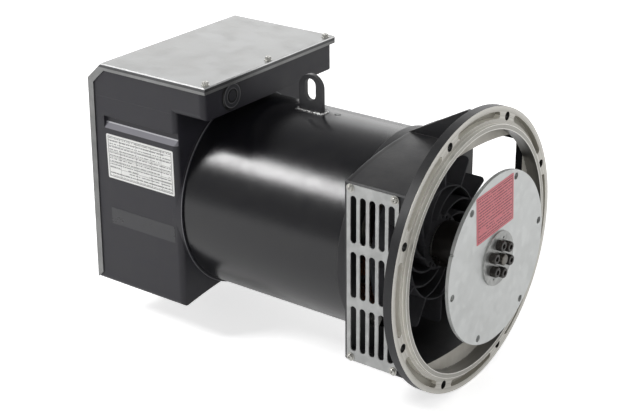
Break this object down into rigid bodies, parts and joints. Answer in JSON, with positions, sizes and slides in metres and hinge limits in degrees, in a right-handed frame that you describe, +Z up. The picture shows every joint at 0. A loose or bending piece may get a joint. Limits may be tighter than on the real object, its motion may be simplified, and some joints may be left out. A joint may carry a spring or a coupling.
{
  "type": "generator alternator head",
  "caption": "Single-bearing alternator head with a flanged drive-end bracket, flexible drive disc, fan, tube stator, rear terminal box and lifting eye.",
  "frame": {"origin": "centre of the mounting flange face on the shaft axis", "axes": "+X along the shaft out of the drive end, +Z up towards the lifting eye"},
  "size_m": [0.5566, 0.3559, 0.3656],
  "materials": {
    "black_oxide": "black-oxide steel",
    "black_plastic": "moulded glass-filled plastic",
    "board": "moulded terminal board",
    "bracket_casting": "cast aluminium, satin black paint outside, bare inside and on the machined flange",
    "brass": "plain brass",
    "bright_steel": "zinc-plated steel",
    "copper": "enamelled copper, varnished",
    "galvanised": "galvanised sheet",
    "grey_plastic": "moulded plastic",
    "label": "printed film, dusty red",
    "laminations": "stacked sheet-steel laminations, varnished",
    "plate": "thin bare aluminium plate",
    "potting": "potted electronics module",
    "rubber": "moulded rubber",
    "shield_casting": "cast, matt charcoal paint",
    "tube_paint": "semi-gloss black paint on steel",
    "turned_steel": "turned steel"
  },
  "bodies": {
    "housing": {"bearing_carrier": "shield_casting", "bearing_outer_race": "turned_steel", "box_screws": "bright_steel", "cover_screws": "bright_steel", "data_plate": "plate", "drive_end_bracket": "bracket_casting", "exciter_coils": "copper", "exciter_stator": "laminations", "eye_weld": "bright_steel", "grille_screws": "bright_steel", "grille_washers": "bright_steel", "knockout_plug": "grey_plastic", "lead_grommet": "rubber", "lifting_eye": "tube_paint", "rear_shield": "shield_casting", "sheet_cover": "galvanised", "side_grille": "galvanised", "stator_core": "laminations", "stator_tube": "tube_paint", "stator_winding": "copper", "terminal_board": "board", "terminal_box": "shield_casting", "terminal_nuts": "brass", "terminal_studs": "brass", "tie_rods": "bright_steel", "voltage_regulator": "potting"},
    "rotor": {"bearing_circlip": "black_oxide", "bearing_inner_race": "turned_steel", "center_bolt": "turned_steel", "clamp_ring": "black_oxide", "coupling_hub": "black_oxide", "disc_label": "label", "drive_discs": "bright_steel", "exciter_rotor": "laminations", "exciter_rotor_winding": "copper", "fan": "black_plastic", "hub_screws": "black_oxide", "rectifier_diodes": "bright_steel", "rectifier_plate": "plate", "rotor_core": "laminations", "rotor_winding": "copper", "shaft": "turned_steel"},
    "bearing_cage_set": {"bearing_balls": "turned_steel", "bearing_cage": "brass"}
  },
  "joints": [
    {"name": "rotor_spin", "type": "hinge", "parent": "housing", "child": "rotor", "pos_m": [0, 0, 0], "axis": [1, 0, 0], "continuous": true},
    {"name": "cage_spin", "type": "hinge", "parent": "housing", "child": "bearing_cage_set", "pos_m": [-0.469, 0, 0], "axis": [1, 0, 0], "continuous": true}
  ],
  "couplings": [
    {"joint": "cage_spin", "follows": "rotor_spin", "ratio": 0.3917}
  ]
}
